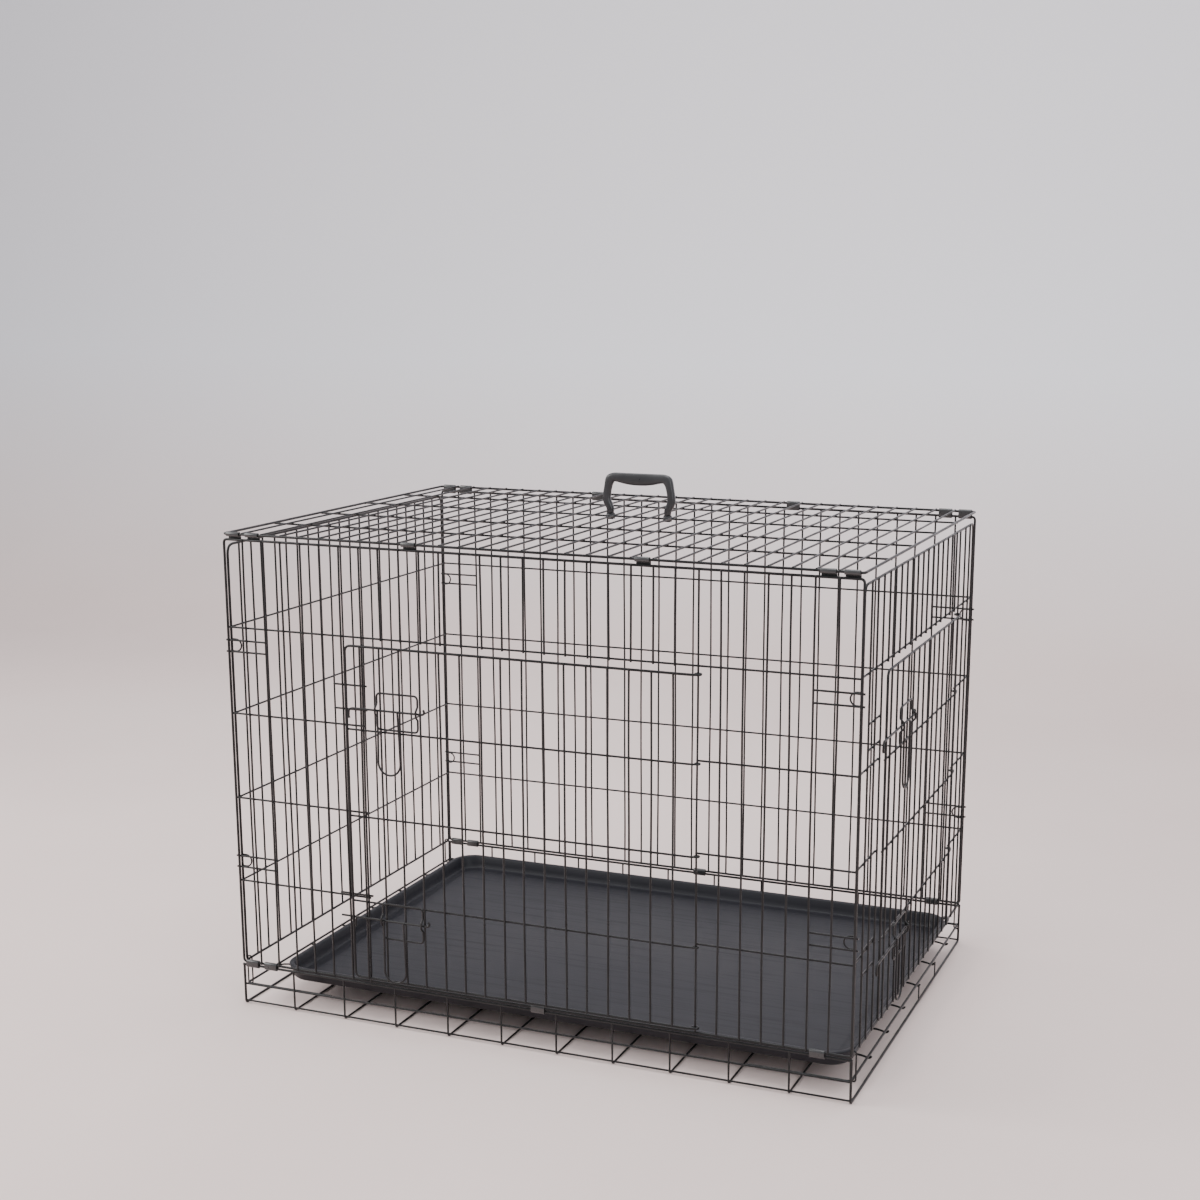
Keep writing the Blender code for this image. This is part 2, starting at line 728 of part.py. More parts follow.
def main():
    clear_scene()
    finishes = make_materials()
    wire, clip = finishes["wire"], finishes["clip"]
    crate = bpy.data.objects.new("crate", None)
    bpy.context.scene.collection.objects.link(crate)
    crate.matrix_world = Matrix.Translation((SHIFT_X, SHIFT_Y, 0))
    make_base_floor(crate, wire)
    make_base_rail("base_front_rail", -1, crate, wire)
    make_base_rail("base_back_rail", 1, crate, wire)
    make_tray_support(crate, wire)
    make_tray(crate, finishes["tray"])
    make_tray_stop(crate, wire)
    make_front_panel(crate, wire)
    make_back_panel(crate, wire)
    make_left_end(crate, wire)
    make_right_end(crate, wire)
    make_lid(crate, wire)
    make_front_door(crate, wire)
    make_end_door(crate, wire)
    front_edge = column(FRONT_LATCH_COLUMN)
    end_edge = end_column(END_LATCH_COLUMN)
    make_latches("front", front_point, front_edge, FRONT_GUIDE_START, crate, wire)
    make_latches("end", end_point, end_edge, END_GUIDE_START, crate, wire)
    make_corner_hooks(crate, wire)
    make_hinge_links(crate, wire)
    make_base_clips(crate, clip)
    make_lid_clips(crate, clip)
    make_carry_handle(crate, finishes["grip"])
    bpy.context.view_layer.update()


main()
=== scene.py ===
import math

import bmesh
import bpy
from mathutils import Matrix, Vector


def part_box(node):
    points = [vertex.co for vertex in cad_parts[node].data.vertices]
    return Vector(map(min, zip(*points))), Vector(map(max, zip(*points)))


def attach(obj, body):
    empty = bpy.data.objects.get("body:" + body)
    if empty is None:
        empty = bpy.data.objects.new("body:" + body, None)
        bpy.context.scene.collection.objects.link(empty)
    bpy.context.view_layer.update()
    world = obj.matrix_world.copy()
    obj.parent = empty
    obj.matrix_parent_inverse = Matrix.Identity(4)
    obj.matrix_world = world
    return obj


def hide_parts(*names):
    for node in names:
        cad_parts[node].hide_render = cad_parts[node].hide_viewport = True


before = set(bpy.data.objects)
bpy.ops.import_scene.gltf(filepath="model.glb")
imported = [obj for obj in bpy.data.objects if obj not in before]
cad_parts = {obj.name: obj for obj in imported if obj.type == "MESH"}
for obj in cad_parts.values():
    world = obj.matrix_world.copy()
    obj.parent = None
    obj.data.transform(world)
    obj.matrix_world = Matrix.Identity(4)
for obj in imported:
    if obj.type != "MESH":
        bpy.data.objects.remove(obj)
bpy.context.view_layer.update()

# Sizes in metres, in a crate whose middle is at x = 0 and y = 0
FLOOR_LOW, FLOOR_HIGH = (Vector(corner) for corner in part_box("base_floor_grid"))
MIDDLE = (FLOOR_LOW + FLOOR_HIGH) / 2
FRONT_LOW, FRONT_HIGH = (Vector(corner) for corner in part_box("front_panel"))
END_LOW, END_HIGH = (Vector(corner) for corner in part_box("right_end_panel"))
TRAY_LOW, TRAY_HIGH = (Vector(corner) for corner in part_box("tray"))
LID_LOW, LID_HIGH = (Vector(corner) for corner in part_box("lid_panel"))

HALF_LENGTH = (FRONT_HIGH.x - FRONT_LOW.x) / 2
SIDE_PLANE = MIDDLE.y - (FRONT_LOW.y + FRONT_HIGH.y) / 2
END_PLANE = (END_LOW.x + END_HIGH.x) / 2 - MIDDLE.x
END_HALF = (END_HIGH.y - END_LOW.y) / 2
WALL_BOTTOM = FRONT_LOW.z + 0.002
WALL_TOP = FRONT_HIGH.z - 0.002
END_TOP = END_HIGH.z - 0.002
LID_HEIGHT = (LID_LOW.z + LID_HIGH.z) / 2
RAIL_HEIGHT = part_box("base_front_rail")[1][2] - 0.002
SUPPORT_HEIGHT = sum(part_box("tray_support_grid")[n][2] for n in (0, 1)) / 2

COLUMNS = 30
END_COLUMNS = 21
ROWS = 5
POST_GAPS = 11
FRONT_LATCH_COLUMN = 7
FRONT_HINGE_COLUMN = 23
END_LATCH_COLUMN = 3
END_HINGE_COLUMN = 18
LATCH_HEIGHTS = {"lower": 0.190, "upper": 0.541}
LATCH_CATCH_OFFSETS = (-0.0055, 0.034)
GUIDE_LENGTH = 0.073
PULL_DROP = 0.104
HOOK_HEIGHTS = {"lower": 0.2535, "upper": 0.6225}
HOOK_CATCH_OFFSETS = (-0.0095, 0.0095)
CATCH_OVERHANG = 0.0032
HOOK_PLANE = 0.3655
LINK_PLANE = 0.3585
LINK_RADIUS = 0.0043
DOOR_ROW_DROP = 0.005
BASE_CLIPS_PER_SIDE = 4
LID_CLIPS = 6
CLIP_RADIUS = 0.0034
CLIP_SHEET = 0.0011
SUPPORT_WIRES = 6
STOP_DROP = 0.027
HANDLE_ROW = 3
HANDLE_FOOT_OFFSET = 0.053

# Round wire, and how far its layers stand off the middle of a panel
THIN = 0.00165
STOUT = 0.0021
UPRIGHT_OUT = 0.0017
LEVEL_OUT = -0.0014
DOOR_OUT = 0.0068


# Materials


class Graph:
    """A material's nodes, added and linked in one call each."""

    def __init__(self, name):
        self.material = bpy.data.materials.new(name)
        self.material.use_nodes = True
        self.tree = self.material.node_tree
        self.shader = self.tree.nodes["Principled BSDF"]

    def node(self, kind, settings=None, links=None):
        made = self.tree.nodes.new(kind)
        for socket, value in (settings or {}).items():
            made.inputs[socket].default_value = value
        for socket, source in (links or {}).items():
            self.tree.links.new(source, made.inputs[socket])
        return made

    def noise(self, scale, detail, place):
        made = self.node("ShaderNodeTexNoise", {"Scale": scale, "Detail": detail}, {"Vector": place})
        return made.outputs["Fac"]

    def ramp(self, source, stops):
        made = self.node("ShaderNodeValToRGB", links={"Fac": source})
        points = made.color_ramp.elements
        for point, (position, colour) in zip(points, stops):
            point.position = position
            point.color = (*colour, 1)
        return made.outputs["Color"]

    def grey_ramp(self, source, low, high, start=0.3, stop=0.7):
        return self.ramp(source, [(start, (low,) * 3), (stop, (high,) * 3)])

    def bump(self, source, strength, distance, under=None):
        links = {"Height": source}
        if under is not None:
            links["Normal"] = under
        made = self.node("ShaderNodeBump", {"Strength": strength, "Distance": distance}, links)
        return made.outputs["Normal"]

    def feed(self, socket, source):
        self.tree.links.new(source, self.shader.inputs[socket])


def coated_wire():
    """Glossy black dip coating: slow thickness waves, a fine orange peel and a little dust."""
    graph = Graph("black_wire_coating")
    place = graph.node("ShaderNodeTexCoord").outputs["Object"]
    waves = graph.noise(60, 3, place)
    peel = graph.noise(900, 2, place)
    dust = graph.noise(14, 6, place)
    shades = [(0.45, (0.004, 0.004, 0.0045)), (0.82, (0.014, 0.014, 0.015))]
    graph.feed("Base Color", graph.ramp(dust, shades))
    graph.feed("Roughness", graph.grey_ramp(waves, 0.26, 0.42))
    graph.feed("Normal", graph.bump(peel, 0.25, 0.0002, graph.bump(waves, 0.3, 0.0006)))
    graph.shader.inputs["Specular IOR Level"].default_value = 0.30
    graph.shader.inputs["Coat Weight"].default_value = 0.07
    graph.shader.inputs["Coat Roughness"].default_value = 0.12
    return graph.material


def clip_steel():
    """Bent sheet clips, painted satin black, with the metal showing through faintly at the edges."""
    graph = Graph("black_clip_paint")
    place = graph.node("ShaderNodeTexCoord").outputs["Object"]
    scuffs = graph.noise(240, 5, place)
    peel = graph.noise(1100, 2, place)
    edges = graph.node("ShaderNodeNewGeometry").outputs["Pointiness"]
    worn = graph.grey_ramp(edges, 0.0, 1.0, 0.52, 0.60)
    colour = graph.node("ShaderNodeMix", links={"Factor": worn})
    colour.data_type = "RGBA"
    colour.inputs["A"].default_value = (0.010, 0.010, 0.011, 1)
    colour.inputs["B"].default_value = (0.050, 0.050, 0.052, 1)
    graph.feed("Base Color", colour.outputs["Result"])
    graph.feed("Roughness", graph.grey_ramp(scuffs, 0.24, 0.44))
    graph.feed("Normal", graph.bump(peel, 0.3, 0.0002))
    graph.shader.inputs["Coat Weight"].default_value = 0.3
    return graph.material


def tray_plastic():
    """Charcoal sheet plastic with a fine pebble, broad gloss changes and faint scuffs."""
    graph = Graph("charcoal_tray_plastic")
    place = graph.node("ShaderNodeTexCoord").outputs["Object"]
    pebble = graph.node("ShaderNodeTexVoronoi", {"Scale": 420.0}, {"Vector": place}).outputs["Distance"]
    fine = graph.noise(1400, 3, place)
    broad = graph.noise(3.2, 4, place)
    stretch = graph.node("ShaderNodeMapping", {"Scale": (4.0, 90.0, 20.0)}, {"Vector": place})
    scuffs = graph.noise(1.6, 8, stretch.outputs["Vector"])
    shades = [(0.35, (0.0085, 0.0085, 0.0120)), (0.68, (0.013, 0.013, 0.0175))]
    graph.feed("Base Color", graph.ramp(broad, shades))
    rough = graph.node("ShaderNodeMath", links={0: graph.grey_ramp(broad, 0.42, 0.52)})
    rough.operation = "ADD"
    graph.tree.links.new(graph.grey_ramp(scuffs, 0.0, 0.09, 0.5, 0.75), rough.inputs[1])
    graph.feed("Roughness", rough.outputs[0])
    lower = graph.bump(pebble, 0.22, 0.0005)
    graph.feed("Normal", graph.bump(fine, 0.10, 0.0003, lower))
    graph.shader.inputs["Specular IOR Level"].default_value = 0.26
    return graph.material


def grip_plastic():
    """Moulded dark grey plastic with a spark-eroded texture and a gloss that varies with handling."""
    graph = Graph("dark_grey_grip_plastic")
    place = graph.node("ShaderNodeTexCoord").outputs["Object"]
    grain = graph.noise(1300, 4, place)
    handled = graph.noise(28, 4, place)
    shades = [(0.3, (0.017, 0.017, 0.019)), (0.7, (0.028, 0.028, 0.031))]
    graph.feed("Base Color", graph.ramp(handled, shades))
    graph.feed("Roughness", graph.grey_ramp(handled, 0.24, 0.42))
    graph.feed("Normal", graph.bump(grain, 0.35, 0.00025))
    return graph.material


WIRE = coated_wire()
CLIP = clip_steel()
TRAY = tray_plastic()
GRIP = grip_plastic()


# Shared geometry


def declare(piece, body, finish, nodes=()):
    piece.data.materials.append(finish)
    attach(piece, body)
    if nodes:
        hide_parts(*nodes)
    return piece


def link(name, data):
    piece = bpy.data.objects.new(name, data)
    bpy.context.scene.collection.objects.link(piece)
    return piece


def wires(name, runs, body, nodes=(), sides=4):
    """Round wires in one curve object. Each run is (points in crate coordinates, radius, closed)."""
    curve = bpy.data.curves.new(name, "CURVE")
    curve.dimensions = "3D"
    curve.bevel_depth = 0.001
    curve.bevel_resolution = sides
    curve.use_fill_caps = True
    for points, radius, closed in runs:
        spline = curve.splines.new("POLY")
        spline.points.add(len(points) - 1)
        for slot, point in zip(spline.points, points):
            slot.co = (point.x + MIDDLE.x, point.y + MIDDLE.y, point.z, 1)
            slot.radius = radius / 0.001
        spline.use_cyclic_u = closed
        spline.use_smooth = True
    return declare(link(name, curve), body, WIRE, nodes)


def welds(name, spots, body):
    """Small smooth swellings where two wires are fused. Each spot is (centre, half sizes)."""
    ball = bmesh.new()
    bmesh.ops.create_uvsphere(ball, u_segments=10, v_segments=7, radius=1)
    shape = bpy.data.meshes.new("weld_ball")
    ball.to_mesh(shape)
    ball.free()
    made = bmesh.new()
    for centre, half in spots:
        before = len(made.verts)
        made.from_mesh(shape)
        made.verts.ensure_lookup_table()
        shift = Vector((centre.x + MIDDLE.x, centre.y + MIDDLE.y, centre.z))
        for vert in made.verts[before:]:
            vert.co = Vector(c * h for c, h in zip(vert.co, half)) + shift
    bpy.data.meshes.remove(shape)
    mesh = bpy.data.meshes.new(name)
    made.to_mesh(mesh)
    made.free()
    mesh.shade_smooth()
    return declare(link(name, mesh), body, WIRE)


def rounded(points, radius, closed=False, steps=5):
    """The same path with its corners rounded. radius is one number, or one for each point."""
    count = len(points)
    radii = radius if isinstance(radius, (list, tuple)) else [radius] * count
    path = []
    for n, corner in enumerate(points):
        at_end = not closed and n in (0, count - 1)
        if at_end or radii[n] <= 0:
            path.append(corner.copy())
            continue
        before, after = points[n - 1], points[(n + 1) % count]
        back, ahead = (before - corner), (after - corner)
        bend = back.angle(ahead)
        reach = min(radii[n] / math.tan(bend / 2), back.length * 0.49, ahead.length * 0.49)
        start = corner + back.normalized() * reach
        stop = corner + ahead.normalized() * reach
        for k in range(steps + 1):
            t = k / steps
            path.append(start * (1 - t) ** 2 + corner * (2 * t * (1 - t)) + stop * t ** 2)
    return path


def arc(centre_u, centre_v, radius, start, stop, count):
    turns = [math.radians(start + (stop - start) * n / (count - 1)) for n in range(count)]
    return [(centre_u + radius * math.cos(turn), centre_v + radius * math.sin(turn)) for turn in turns]


def column(n):
    span = 2 * HALF_LENGTH - 0.004
    return -span / 2 + span * n / COLUMNS


def end_column(n):
    span = 2 * END_HALF - 0.004
    return -span / 2 + span * n / END_COLUMNS


def row(n):
    return WALL_BOTTOM + (WALL_TOP - WALL_BOTTOM) * n / ROWS


def lid_row(n):
    return -SIDE_PLANE + 2 * SIDE_PLANE * n / ROWS


def post(n):
    span = 2 * HALF_LENGTH - 0.004
    return -span / 2 + span * n / POST_GAPS


# Where a point u along, v up and out from a panel lies


def front_point(u, v, out=0.0):
    return Vector((u, -SIDE_PLANE - out, v))


def back_point(u, v, out=0.0):
    return Vector((u, SIDE_PLANE + out, v))


def left_point(u, v, out=0.0):
    return Vector((-END_PLANE - out, u, v))


def right_point(u, v, out=0.0):
    return Vector((END_PLANE + out, u, v))


def lid_point(u, v, out=0.0):
    return Vector((u, v, LID_HEIGHT + out))


def sway(n, height):
    """How far wire number n strays sideways: hand-fed wires are never quite even."""
    return 0.00055 * math.sin(2.3 * n + 6.0 * height) + 0.0003 * math.sin(5.1 * n + 17.0 * height)


def upright_run(place, u, n, low, high, out=UPRIGHT_OUT, radius=THIN, pieces=9):
    points = []
    for k in range(pieces + 1):
        height = low + (high - low) * k / pieces
        points.append(place(u + sway(n, height), height, out))
    return (points, radius, False)


def level_run(place, v, low, high, out=LEVEL_OUT, radius=THIN):
    return ([place(low, v, out), place(high, v, out)], radius, False)


def weld_spot(place, u, v, out, axis_out):
    """A swelling at a crossing; axis_out is the world axis that the panel faces along."""
    half = [0.0021, 0.0021, 0.0021]
    half[axis_out] = 0.0019
    return (place(u, v, out), half)


def frame_run(place, half, low, high, low_corner, high_corner):
    corners = [
        place(-half, low), place(half, low), place(half, high), place(-half, high),
    ]
    radii = [low_corner, low_corner, high_corner, high_corner]
    return (rounded(corners, radii, closed=True), STOUT, True)


def wall(name, body, place, axis, position, count, top, corner, doorway=None, extra=()):
    """A wall of round wires: a bent frame wire, uprights on its outer side and level wires inside."""
    edge = position(count)
    runs = [frame_run(place, edge, WALL_BOTTOM, top, 0.006, corner)]
    spots = []
    for n in range(1, count):
        cut = doorway is not None and doorway[0] < n < doorway[1]
        low = row(ROWS - 1) - 0.0022 if cut else WALL_BOTTOM - 0.0012
        out = 0.0 if doorway is not None and n == doorway[1] else UPRIGHT_OUT
        radius = 0.0016 if doorway is not None and n in doorway else THIN
        runs.append(upright_run(place, position(n), n, low, top + 0.0012, out, radius))
        for level in range(0 if not cut else ROWS - 1, ROWS + 1):
            v = WALL_BOTTOM if level == 0 else top if level == ROWS else row(level)
            spots.append(weld_spot(place, position(n) + sway(n, v), v, (out + LEVEL_OUT) / 2, axis))
    for level in range(1, ROWS):
        spans = [(-edge - 0.0012, edge + 0.0012)]
        if doorway is not None and level < ROWS - 1:
            outer_low, outer_high = spans[0]
            spans = [(outer_low, position(doorway[0]) + 0.0015), (position(doorway[1]) - 0.0012, outer_high)]
        for low, high in spans:
            runs.append(level_run(place, row(level), low, high))
        for side in (-edge, edge):
            spots.append(weld_spot(place, side, row(level), LEVEL_OUT / 2, axis))
    for v, low, high, crossings in extra:
        runs.append(level_run(place, v, low, high))
        for u, n in crossings:
            spots.append(weld_spot(place, u + sway(n, v), v, (UPRIGHT_OUT + LEVEL_OUT) / 2, axis))
    wires(name + "_wires", runs, body, (name,))
    welds(name + "_welds", spots, body)


def corner_catches():
    """Pairs of short wires at the corners that the ends' hooks sit between."""
    found = []
    for height in HOOK_HEIGHTS.values():
        for offset in HOOK_CATCH_OFFSETS:
            crossings = [(column(n), n) for n in (1, 2)]
            found.append((height + offset, -HALF_LENGTH - CATCH_OVERHANG, column(2) + 0.0015, crossings))
            crossings = [(column(COLUMNS - n), COLUMNS - n) for n in (1, 2)]
            inner_end = column(COLUMNS - 2) - 0.0015
            found.append((height + offset, inner_end, HALF_LENGTH + CATCH_OVERHANG, crossings))
    return found


def latch_catches(position, n):
    edge = position(n)
    found = []
    for height in LATCH_HEIGHTS.values():
        for offset in LATCH_CATCH_OFFSETS:
            crossings = [(edge, n), (position(n - 1), n - 1)]
            found.append((height + offset, edge - 0.054, edge + 0.006, crossings))
    return found


def make_walls():
    front_extra = corner_catches() + latch_catches(column, FRONT_LATCH_COLUMN)
    front_door = (FRONT_LATCH_COLUMN, FRONT_HINGE_COLUMN)
    wall("front_panel", "front_wall", front_point, 1, column, COLUMNS, WALL_TOP, 0.006,
         front_door, front_extra)
    wall("back_panel", "back_wall", back_point, 1, column, COLUMNS, WALL_TOP, 0.006,
         None, corner_catches())
    wall("left_end_panel", "left_end", left_point, 0, end_column, END_COLUMNS, END_TOP, 0.016)
    end_door = (END_LATCH_COLUMN, END_HINGE_COLUMN)
    wall("right_end_panel", "right_end", right_point, 0, end_column, END_COLUMNS, END_TOP, 0.016,
         end_door, latch_catches(end_column, END_LATCH_COLUMN))


def make_lid():
    side = column(COLUMNS)
    corners = [
        lid_point(-side, -SIDE_PLANE), lid_point(side, -SIDE_PLANE),
        lid_point(side, SIDE_PLANE), lid_point(-side, SIDE_PLANE),
    ]
    runs = [(rounded(corners, 0.006, closed=True), STOUT, True)]
    spots = []
    reach = SIDE_PLANE + 0.0012
    for n in range(1, COLUMNS):
        points = []
        for k in range(10):
            y = -reach + 2 * reach * k / 9
            points.append(lid_point(column(n) + sway(n + 40, y), y, UPRIGHT_OUT))
        runs.append((points, THIN, False))
        for level in range(ROWS + 1):
            y = lid_row(level)
            spots.append(weld_spot(lid_point, column(n) + sway(n + 40, y), y, 0.0002, 2))
    for level in range(1, ROWS):
        out = 0.0 if level == HANDLE_ROW else LEVEL_OUT
        runs.append(level_run(lid_point, lid_row(level), -side - 0.0012, side + 0.0012, out))
        for edge in (-side, side):
            spots.append(weld_spot(lid_point, edge, lid_row(level), LEVEL_OUT / 2, 2))
    wires("lid_panel_wires", runs, "lid", ("lid_panel",))
    welds("lid_panel_welds", spots, "lid")


def curl(place, hinge, v, out, ring):
    """The end of a door wire wrapped round the hinge wire, from the door's side on."""
    path = [(hinge - 0.012, out), (hinge - 0.006, out * 0.55 + ring * 0.45)]
    path += arc(hinge, 0.0, ring, 95, -190, 15)
    return [place(u, v, depth) for u, depth in path]


def door(name, body, place, axis, left, hinge, position, columns, radius=0.011):
    low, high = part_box(name)
    bottom, top = low[2] + 0.002, high[2] - 0.002
    top_curl = curl(place, hinge, top, DOOR_OUT, 0.0042)
    bottom_curl = curl(place, hinge, bottom, DOOR_OUT, 0.0042)
    corners = [place(hinge - 0.012, top, DOOR_OUT), place(left, top, DOOR_OUT)]
    corners += [place(left, bottom, DOOR_OUT), place(hinge - 0.012, bottom, DOOR_OUT)]
    bent = rounded(corners, radius)
    runs = [(list(reversed(top_curl)) + bent[1:-1] + bottom_curl, STOUT, False)]
    spots = []
    heights = [row(n) - DOOR_ROW_DROP for n in range(1, ROWS - 1)]
    for v in heights:
        out = DOOR_OUT + LEVEL_OUT
        run = [place(left - 0.001, v, out)] + curl(place, hinge, v, out, 0.0036)
        runs.append((run, THIN, False))
        spots.append(weld_spot(place, left, v, DOOR_OUT + LEVEL_OUT / 2, axis))
    for n in columns:
        runs.append(upright_run(place, position(n), n, bottom - 0.001, top + 0.001, DOOR_OUT + UPRIGHT_OUT))
        for v in heights + [bottom, top]:
            u = position(n) + sway(n, v)
            spots.append(weld_spot(place, u, v, DOOR_OUT + 0.0002, axis))
    wires(name + "_wires", runs, body, (name,))
    welds(name + "_welds", spots, body)


def make_doors():
    front_low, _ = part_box("front_door")
    end_low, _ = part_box("end_door")
    door("front_door", "front_door", front_point, 1, front_low[0] - MIDDLE.x + 0.002,
         column(FRONT_HINGE_COLUMN), column, range(FRONT_LATCH_COLUMN, FRONT_HINGE_COLUMN))
    door("end_door", "end_door", right_point, 0, end_low[1] - MIDDLE.y + 0.002,
         end_column(END_HINGE_COLUMN), end_column, range(END_LATCH_COLUMN + 1, END_HINGE_COLUMN))


# Latches


def guide_runs(place, start, height):
    """A closed wire loop that bulges outward where the bolt passes under its two uprights."""
    stop = start + GUIDE_LENGTH
    low, high = height - 0.031, height + 0.028
    flat, proud = 0.0096, 0.0159
    corners = [(start, low, flat), (stop, low, flat)]
    corners += [(stop, height - 0.011, flat), (stop, height - 0.0045, proud)]
    corners += [(stop, height + 0.0045, proud), (stop, height + 0.011, flat)]
    corners += [(stop, high, flat), (start, high, flat)]
    corners += [(start, height + 0.011, flat), (start, height + 0.0045, proud)]
    corners += [(start, height - 0.0045, proud), (start, height - 0.011, flat)]
    radii = [0.007, 0.007, 0.003, 0.003, 0.003, 0.003, 0.007, 0.007, 0.003, 0.003, 0.003, 0.003]
    return [(rounded([place(*corner) for corner in corners], radii, closed=True), THIN, True)]


def bolt_runs(place, edge, stop, height):
    """A rod with a small curl at one end and a hooked tip that drops past the catch wires at the other."""
    out = 0.0120
    path = arc(stop - 0.001, height + 0.0040, 0.0040, 60, -90, 8)
    path += arc(edge - 0.013, height - 0.007, 0.007, 90, 180, 9)
    path += [(edge - 0.0205, height - 0.0125), (edge - 0.0190, height - 0.0165)]
    return [([place(u, v, out) for u, v in path], 0.0018, False)]


def pull_runs(place, start, height):
    """A narrow U of wire with slightly bowed legs, both fused to the rod."""
    half, out = 0.0198, 0.0154
    middle = start + 0.0192
    low = height - PULL_DROP + half
    bend = arc(middle, low, half, 180, 360, 17)
    left_leg = [(start, height), (start + 0.0001, (height + low) / 2)]
    right_leg = [(start + 0.0378, (height + low) / 2), (start + 0.036, height)]
    path = [place(u, v, out) for u, v in left_leg + bend + right_leg]
    return [(path, THIN, False)]


def make_latches(prefix, place, edge, guide_offset):
    for level, height in LATCH_HEIGHTS.items():
        start = edge + guide_offset
        name = f"{prefix}_{level}_latch"
        wires(name + "_guide_wire", guide_runs(place, start, height), prefix + "_door", (name + "_guide",), 5)
        rod = bolt_runs(place, edge, start + GUIDE_LENGTH + 0.010, height)
        wires(name + "_bolt_rod", rod, f"{prefix}_{level}_bolt", (name + "_bolt",), 5)
        pull = pull_runs(place, start + 0.004, height)
        wires(name + "_pull_wire", pull, f"{prefix}_{level}_pull", (name + "_pull",), 5)


# Hooks, links and the base


def make_hooks():
    root = END_PLANE - 0.0011
    half = 0.010
    for end, sign in (("left", -1), ("right", 1)):
        for side, side_sign in (("front", -1), ("back", 1)):
            for level, height in HOOK_HEIGHTS.items():
                bend = arc(root - 0.0165 + half, height, half, 270, 90, 15)
                path = [(root, height - half)] + bend + [(root, height + half)]
                points = [Vector((sign * x, side_sign * HOOK_PLANE, z)) for x, z in path]
                name = f"{end}_{side}_{level}_hook"
                wires(name + "_wire", [(points, 0.00135, False)], end + "_end", (name,), 5)


def make_links():
    for end, sign in (("left", -1), ("right", 1)):
        for side, side_sign in (("front", -1), ("back", 1)):
            ring = arc(END_PLANE, WALL_BOTTOM, LINK_RADIUS, 0, 180, 11)
            ring += arc(END_PLANE, SUPPORT_HEIGHT, LINK_RADIUS, 180, 360, 11)
            points = [Vector((sign * x, side_sign * LINK_PLANE, z)) for x, z in ring]
            name = f"{end}_{side}_hinge_link"
            wires(name + "_wire", [(points, 0.0013, True)], "base", (name,), 5)


def make_base():
    """Twelve wires bent up into posts, the long wires welded to them, and the tray's supports."""
    runs = []
    spots = []
    for n in range(POST_GAPS + 1):
        x = post(n)
        radius = STOUT if n in (0, POST_GAPS) else 0.0016
        side = SIDE_PLANE
        corners = [
            Vector((x, -side, RAIL_HEIGHT + 0.001)), Vector((x, -side, 0.0017)),
            Vector((x, side, 0.0017)), Vector((x, side, RAIL_HEIGHT + 0.001)),
        ]
        runs.append((rounded(corners, 0.005), radius, False))
        for sign in (-1, 1):
            for z in (0.0045, SUPPORT_HEIGHT, RAIL_HEIGHT):
                spots.append((Vector((x, sign * (side - 0.0006), z)), (0.0022, 0.0019, 0.0022)))
    wires("base_cross_wires", runs, "base", ("base_floor_grid",))
    welds("base_welds", spots, "base")
    for name, sign in (("base_front_rail", -1), ("base_back_rail", 1)):
        y = sign * SIDE_PLANE
        inner = sign * (SIDE_PLANE - 0.0018)
        side = column(COLUMNS)
        long_runs = [
            ([Vector((-HALF_LENGTH, y, RAIL_HEIGHT)), Vector((HALF_LENGTH, y, RAIL_HEIGHT))], STOUT, False),
            ([Vector((-side, inner, SUPPORT_HEIGHT)), Vector((side, inner, SUPPORT_HEIGHT))], 0.0016, False),
            ([Vector((-side, inner, 0.0048)), Vector((side, inner, 0.0048))], 0.0016, False),
        ]
        wires(name + "_wires", long_runs, "base", (name,))
    supports = []
    end_spots = []
    for sign in (-1, 1):
        inner = SIDE_PLANE - 0.0045
        leg_end = sign * (END_PLANE - 0.165)
        corners = [
            Vector((leg_end, -inner, SUPPORT_HEIGHT)), Vector((sign * END_PLANE, -inner, SUPPORT_HEIGHT)),
            Vector((sign * END_PLANE, inner, SUPPORT_HEIGHT)), Vector((leg_end, inner, SUPPORT_HEIGHT)),
        ]
        supports.append((rounded(corners, 0.008), 0.0020, False))
    for n in range(1, SUPPORT_WIRES + 1):
        y = -SIDE_PLANE + 2 * SIDE_PLANE * n / (SUPPORT_WIRES + 1)
        hook = [(END_PLANE - 0.016, -0.0008), (END_PLANE - 0.008, -0.0020)]
        hook += arc(END_PLANE, 0.0, 0.0040, 250, 354, 9)
        ends = [(-x, z) for x, z in reversed(hook)] + hook
        supports.append(([Vector((x, y, SUPPORT_HEIGHT + z)) for x, z in ends], THIN, False))
        for sign in (-1, 1):
            spot = Vector((sign * END_PLANE, y, SUPPORT_HEIGHT - 0.0004))
            end_spots.append((spot, (0.0021, 0.0022, 0.0018)))
    wires("tray_support_wires", supports, "base", ("tray_support_grid",))
    welds("tray_support_welds", end_spots, "base")


def make_tray_stop():
    """A wire bail that hangs beside the right end's wire."""
    x = END_PLANE + 0.0045
    box_low, box_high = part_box("tray_stop")
    near, far = box_low[1] - MIDDLE.y + 0.0012, box_high[1] - MIDDLE.y - 0.0012
    low = SUPPORT_HEIGHT - STOP_DROP
    corners = [
        Vector((x, near, SUPPORT_HEIGHT)), Vector((x, near, low)),
        Vector((x, far, low)), Vector((x, far, SUPPORT_HEIGHT)),
    ]
    wires("tray_stop_wire", [(rounded(corners, 0.008), 0.0012, False)], "tray_stop", ("tray_stop",), 5)


# Bent sheet clips: an outline in the plane of Y and Z, run along X


